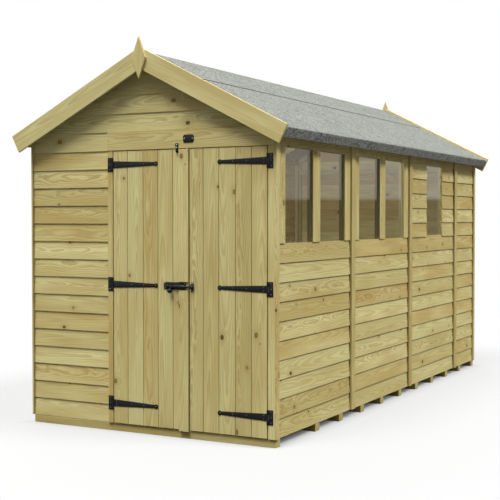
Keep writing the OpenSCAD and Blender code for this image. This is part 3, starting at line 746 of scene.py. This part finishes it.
# %% Door boards
# Each board's width in millimetres and its tone, from left to right
JOINT = 3 * MM
LEAF_BOARDS = {"left": ((112, 0.4), (121, 0.1), (113, 0.55), (113, 0.45), (120, 0.25)),
               "right": ((98, 0.3), (113, 0.55), (118, 0.45), (112, 0.65), (109, 0.5))}
for side, boards in LEAF_BOARDS.items():
    node = side + "_leaf_boards"
    low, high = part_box(node)
    leaf = log_layers()
    x = low.x
    scale = (high.x - low.x) / sum(width for width, tone in boards)
    length = high.z - low.z
    for width, tone in boards:
        middle = Vector((x + width * scale / 2, (low.y + high.y) / 2, (low.z + high.z) / 2))
        size = (length, width * scale - JOINT, high.y - low.y)
        add_board(leaf, size, axes((0, 0, 1), (1, 0, 0), middle), round_off=1.6 * MM, tone=tone)
        x += width * scale
        if x < high.x - JOINT:
            middle = Vector((x, high.y - 3 * MM, middle.z))
            tongue = (length - JOINT, JOINT + 2 * MM, 4 * MM)
            add_board(leaf, tongue, axes((0, 0, 1), (1, 0, 0), middle), round_off=0.3 * MM, tone=tone)
    finish_piece(leaf, node + "_timber", side + "_door", [treated_pine], "treated_timber", node)

# %% [markdown]
# ## Felt
#
# The felt goes on in three runs: one down each slope, folded over the edge board at the eaves, and one
# over the ridge that laps both. Thin boxes would meet in sharp corners at the fold. So the outline of a
# run is drawn once, across the roof, an operator sweeps it along the roof in steps, and the sheet then
# gets its thickness inwards.

# %% Measures of the felt
FELT_T = 3 * MM
ROOF_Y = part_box("ridge_felt")[1].y
felt_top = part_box("ridge_felt")[1].z + FELT_T / math.cos(ROOF_PITCH)
SLOPE = 1156 * MM
RIDGE_RUN = 421 * MM
LAP_RUN = 75 * MM
FOLD = 67 * MM


def on_slope(side, u, v):
    """A point of the roof: u down the slope from the ridge, v up from the felt's top."""
    return Vector((side * (u * math.cos(ROOF_PITCH) + v * math.sin(ROOF_PITCH)), -ROOF_Y,
                   felt_top - u * math.sin(ROOF_PITCH) + v * math.cos(ROOF_PITCH)))


# %% Sweep a sheet
FELT_STEPS = 44


def felt_sheet(name, points, nodes):
    """Sweeps the line of points along the roof, then gives the sheet its thickness inwards."""
    bm = bmesh.new()
    verts = [bm.verts.new(p) for p in points]
    edges = [bm.edges.new((a, b)) for a, b in zip(verts, verts[1:])]
    bmesh.ops.spin(bm, geom=edges, angle=0.0, steps=FELT_STEPS, dvec=(0, 2 * ROOF_Y / FELT_STEPS, 0),
                   axis=(0, 0, 1), cent=(0, 0, 0), use_duplicate=False)
    bmesh.ops.recalc_face_normals(bm, faces=bm.faces)
    if sum(f.normal.z * f.calc_area() for f in bm.faces) < 0:
        bmesh.ops.reverse_faces(bm, faces=bm.faces)
    slope, fold, cut_edge = 0, 1, 2
    # Faces that look sideways or down take the lighter felt, which paints light on the fold
    for face in bm.faces:
        face.material_index = fold if face.normal.z < 0.3 else slope
    sheet = set(bm.faces)
    bmesh.ops.solidify(bm, geom=bm.faces[:], thickness=0.9 * FELT_T)
    for face in bm.faces:
        if face.calc_area() < 800 * MM * MM and face not in sheet:
            face.material_index = cut_edge
    materials = [mineral_felt, fold_felt_painted_lighter, bitumen]
    finish_piece(bm, name, "shed", materials, "roof_felt", *nodes, smooth=30)


# %% Felt on the slopes
start = RIDGE_RUN - LAP_RUN
for side, tag in ((1, "right"), (-1, "left")):
    line = [on_slope(side, start + (SLOPE - start - 4 * MM) * i / 14, -FELT_T) for i in range(15)]
    line += [on_slope(side, SLOPE - 1 * MM, -FELT_T - 1.2 * MM), on_slope(side, SLOPE, -FELT_T - 4 * MM)]
    line += [on_slope(side, SLOPE, -FELT_T - 4 * MM - (FOLD - 7 * MM) * i / 4) for i in range(1, 5)]
    felt_sheet("lower_felt_" + tag, line, ["lower_felt"] if side == 1 else [])

# %% Felt over the ridge
half = [(RIDGE_RUN - (LAP_RUN - 2 * MM) * i / 3, 0.0) for i in range(4)]
half += [(start - 6 * MM, -FELT_T)] + [(start * (1 - i / 5), -FELT_T) for i in range(1, 5)]
line = [on_slope(-1, u, v) for u, v in half]
line += [Vector((0, -ROOF_Y, felt_top - FELT_T / math.cos(ROOF_PITCH)))]
line += [on_slope(1, u, v) for u, v in reversed(half)]
felt_sheet("ridge_felt_sheet", line, ["ridge_felt"])

# %% [markdown]
# ## Ironwork
#
# Plates and straps come from the frame with their arrises eased. What the frame leaves out are the
# screws: small pan heads, pressed a little into the coat. A ball would look too round from the side,
# so one head is a short cone with a soft rim. A slot in it would be finer than can be seen.


# %% Plates and straps
def ironwork(node, body, material=black_coat, slot="black_steel"):
    """Makes a piece of the metal solids in a node, with their arrises eased."""
    bm = bmesh.new()
    for one in solids(node):
        sharp = [e for e in one.edges if e.calc_face_angle(0.0) > math.radians(40)]
        ease(one, 0.7 * MM, edges=sharp)
        join(bm, one)
    finish_piece(bm, node + "_metal", body, [material], slot, node, smooth=35)


for node, body in (("hinge_plates", "shed"), ("left_hinge_straps", "left_door"),
                   ("right_hinge_straps", "right_door"), ("padbolt_plate", "left_door"),
                   ("padbolt_rod", "door_bolt"), ("padbolt_keep", "right_door"),
                   ("top_catch", "left_door"), ("catch_keep", "shed")):
    ironwork(node, body)
ironwork("door_plaque", "shed", black_moulding, "black_plastic")


# %% One screw
def add_screw(bm, where, radius=4 * MM):
    """A pan head that stands on a face looking out of the front."""
    before = set(bm.verts)
    bmesh.ops.create_cone(bm, cap_ends=True, segments=14, radius1=radius, radius2=0.62 * radius,
                          depth=0.5 * radius)
    rim = [e for e in bm.edges if e.verts[0] not in before and e.calc_face_angle(0.0) > 0.5
           and all(v.co.z > 0 for v in e.verts)]
    bmesh.ops.bevel(bm, geom=rim, offset=0.16 * radius, segments=2, profile=0.5, affect="EDGES",
                    material=-1)
    head = [v for v in bm.verts if v not in before]
    place = Matrix.Translation(Vector(where) + Vector((0, -0.2 * radius, 0)))
    bmesh.ops.transform(bm, matrix=place @ Matrix.Rotation(math.pi / 2, 4, "X"), verts=head)


# %% Screws of a fitting
def screws(name, body, material, places, radius=4 * MM):
    """Makes one piece of all the screws that hold a fitting."""
    bm = bmesh.new()
    for where in places:
        add_screw(bm, where, radius)
    finish_piece(bm, name, body, [material], "black_steel", smooth=35)


# %% Hinge screws
HINGE_T = 3 * MM
STRAP_HOLES = ((30, 12), (30, -12), (150, 0), (245, 0), (335, 0))
plate_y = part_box("left_leaf_boards")[0].y - HINGE_T
middles = [sum(v.co.z for v in one.verts) / len(one.verts) for one in solids("left_hinge_straps")]
HINGE_Z = sorted(middles)
print("hinges at", [round(z, 4) for z in HINGE_Z])
for side, sign in (("left", 1), ("right", -1)):
    low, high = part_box(side + "_hinge_straps")
    root = low.x if sign > 0 else high.x
    places = [(root + sign * reach * MM, plate_y, z + lift * MM) for z in HINGE_Z
              for reach, lift in STRAP_HOLES]
    screws(side + "_strap_screws", side + "_door", blackened_steel, places)

low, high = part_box("hinge_plates")
places = [(x, plate_y, z + lift) for z in HINGE_Z for x in (low.x + 14 * MM, high.x - 14 * MM)
          for lift in (-34 * MM, 0.0, 34 * MM)]
screws("hinge_plate_screws", "shed", blackened_steel, places)

# %% Bolt, plaque and catch screws
low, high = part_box("padbolt_plate")
places = [(x, plate_y, z) for x in (low.x + 8 * MM, high.x - 8 * MM)
          for z in (low.z + 7 * MM, high.z - 7 * MM)]
screws("padbolt_screws", "left_door", zinc, places)
low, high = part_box("padbolt_keep")
places = [((low.x + high.x) / 2, plate_y, z) for z in (low.z + 9 * MM, high.z - 9 * MM)]
screws("keep_screws", "right_door", zinc, places)
low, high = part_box("door_plaque")
places = [(x, low.y, (low.z + high.z) / 2) for x in (low.x + 10 * MM, high.x - 10 * MM)]
screws("plaque_screws", "shed", zinc, places, 5 * MM)
low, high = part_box("catch_keep")
middle = (low.x + high.x) / 2
screws("catch_screw", "shed", zinc, [(middle, low.y, high.z - (high.x - low.x) / 2)], 7 * MM)
screws("catch_rivet", "shed", zinc, [(middle, low.y, low.z + 6 * MM)], 5 * MM)

# %% [markdown]
# ## Glass
#
# Each pane is a flat sheet, 3 mm thick, held behind the window trims. Drawing it again would gain
# nothing, so it keeps the shape that the frame gives it and only gets its material.

# %% Panes
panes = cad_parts["window_panes"]
panes.data.materials.clear()
panes.data.materials.append(glass)

# %% [markdown]
# ## Studio
#
# The shed stands in a white room. Most of the light comes from above, because that is what darkens
# the boards under the eaves and draws the laps: one soft lamp stands high before the doors and a
# little to their left, one high over the windowed side, and a weak one behind. A small lamp inside
# stands for the daylight that many windows would let in. The floor keeps the shadow and turns white
# with distance, and in the panes the room shows as a pale sky above a darker ground. A brighter lamp
# could make the floor white, but it would bleach the boards, so the white is a glow of the floor's own
# that only the camera sees.
# Under the shed and just round it the glow fades out, which paints a darker shade at its base.

# %% Floor disc
floor_mesh = bpy.data.meshes.new("studio_floor")
bm = bmesh.new()
bmesh.ops.create_circle(bm, cap_ends=True, segments=96, radius=60.0)
bm.to_mesh(floor_mesh)
bm.free()
floor = bpy.data.objects.new("studio_floor", floor_mesh)
bpy.context.scene.collection.objects.link(floor)

# %% Floor paper
PAPER_GLOW = 0.62
NEAR_FLOOR = 3.0
FAR_FLOOR = 8.0
paper, tree, shader = new_material("white_paper_floor")
rays = put(tree, "ShaderNodeLightPath").outputs
place = put(tree, "ShaderNodeTexCoord").outputs["Object"]
shader.inputs["Base Color"].default_value = linear("#5c5c5c")
shader.inputs["Roughness"].default_value = 1.0
shader.inputs["Specular IOR Level"].default_value = 0.0
matt = put(tree, "ShaderNodeBsdfDiffuse", {"Color": linear("#a6a6a6")}).outputs[0]
white = put(tree, "ShaderNodeEmission", {"Color": (1, 1, 1, 1), "Strength": 1.0}).outputs[0]
far = put(tree, "ShaderNodeVectorMath", {0: place}, operation="LENGTH").outputs["Value"]
beside = put(tree, "ShaderNodeVectorMath", {0: place}, operation="ABSOLUTE").outputs[0]
beside = vector_calc(tree, "SUBTRACT", beside, (WALL_X, WALL_Y, 0.0))
beside = put(tree, "ShaderNodeSeparateXYZ", {0: beside}).outputs
# The glow fades in from 150 mm inside the walls to 120 mm beyond them: painted shade at the shed's base
clear_of_painted_shade = ramp(tree, calc(tree, "MAXIMUM", beside[0], beside[1]), -150 * MM, 120 * MM)
glow = calc(tree, "MULTIPLY", ramp(tree, far, NEAR_FLOOR, FAR_FLOOR, PAPER_GLOW, 1.0), clear_of_painted_shade)
seen = put(tree, "ShaderNodeMixShader", {0: glow, 1: matt, 2: white})
both = put(tree, "ShaderNodeMixShader",
           {0: rays["Is Camera Ray"], 1: shader.outputs[0], 2: seen.outputs[0]})
tree.links.new(both.outputs[0], tree.nodes["Material Output"].inputs["Surface"])
floor_mesh.materials.append(paper)
floor.visible_glossy = False
print("floor", len(floor_mesh.vertices), "corners", paper.name)

# %% White room
HORIZON = math.sin(math.radians(1.0))
world = bpy.data.worlds.new("white_room")
bpy.context.scene.world = world
world.use_nodes = True
tree = world.node_tree
tree.nodes.clear()
rays = put(tree, "ShaderNodeLightPath").outputs
direction = put(tree, "ShaderNodeTexCoord").outputs["Generated"]
height = put(tree, "ShaderNodeSeparateXYZ", {0: direction}).outputs[2]
sky = ramp(tree, height, HORIZON - 0.002, HORIZON + 0.002)
mirrored = blend_colour(tree, sky, (0.08, 0.08, 0.08, 1), (0.5, 0.5, 0.5, 1))
dome = blend_colour(tree, ramp(tree, height, 0.0, 0.9), (0.16, 0.16, 0.16, 1), (0.6, 0.6, 0.6, 1))
room = blend_colour(tree, rays["Is Glossy Ray"], dome, mirrored)
seen = blend_colour(tree, rays["Is Camera Ray"], room, (1, 1, 1, 1))
backdrop = put(tree, "ShaderNodeBackground", {0: seen, 1: 1.0}).outputs[0]
put(tree, "ShaderNodeOutputWorld", {0: backdrop})
print(world.name, len(tree.nodes), "nodes")


# %% Lamps
def far_lamp(name, strength, softness, source):
    """A distant lamp that shines from a direction; softness is how wide it looks, in degrees."""
    data = bpy.data.lights.new(name, "SUN")
    data.energy = strength
    data.angle = math.radians(softness)
    lamp = bpy.data.objects.new(name, data)
    lamp.rotation_euler = Vector(source).to_track_quat("Z", "Y").to_euler()
    bpy.context.scene.collection.objects.link(lamp)
    print(name, strength, "softness", softness)


far_lamp("front_lamp", 4.0, 30, (-0.08, -0.42, 0.9))
far_lamp("side_lamp", 3.1, 16, (0.58, 0.12, 0.8))
far_lamp("rear_lamp", 1.0, 40, (-0.455, 0.455, 0.766))

# %% Lamp in the room
room_data = bpy.data.lights.new("room_lamp", "AREA")
room_data.shape = "RECTANGLE"
room_data.size = 0.6
room_data.size_y = 0.4
room_data.energy = 20.0
room_lamp = bpy.data.objects.new("room_lamp", room_data)
room_lamp.location = (0.0, -0.3, 1.95)
room_lamp.rotation_euler = (math.radians(68), 0, 0)
room_lamp.visible_camera = False
room_lamp.visible_glossy = False
room_lamp.visible_transmission = False
bpy.context.scene.collection.objects.link(room_lamp)

# %% [markdown]
# ## Camera
#
# The camera stands at eye height off the right-hand front corner, and looks very slightly down. A
# long lens from further off keeps the two walls from leaning apart.

# %% Camera
camera_data = bpy.data.cameras.new("camera")
camera_data.sensor_width = 36.0
camera_data.lens = 77.4
camera = bpy.data.objects.new("camera", camera_data)
bpy.context.scene.collection.objects.link(camera)
camera.location = (3.8429, -7.9276, 1.4022)
camera.rotation_euler = (math.radians(90 - 1.69), 0, math.radians(27.95))
bpy.context.scene.camera = camera

bpy.context.scene.view_settings.view_transform = "Standard"
print("camera at", [round(c, 3) for c in camera.location])
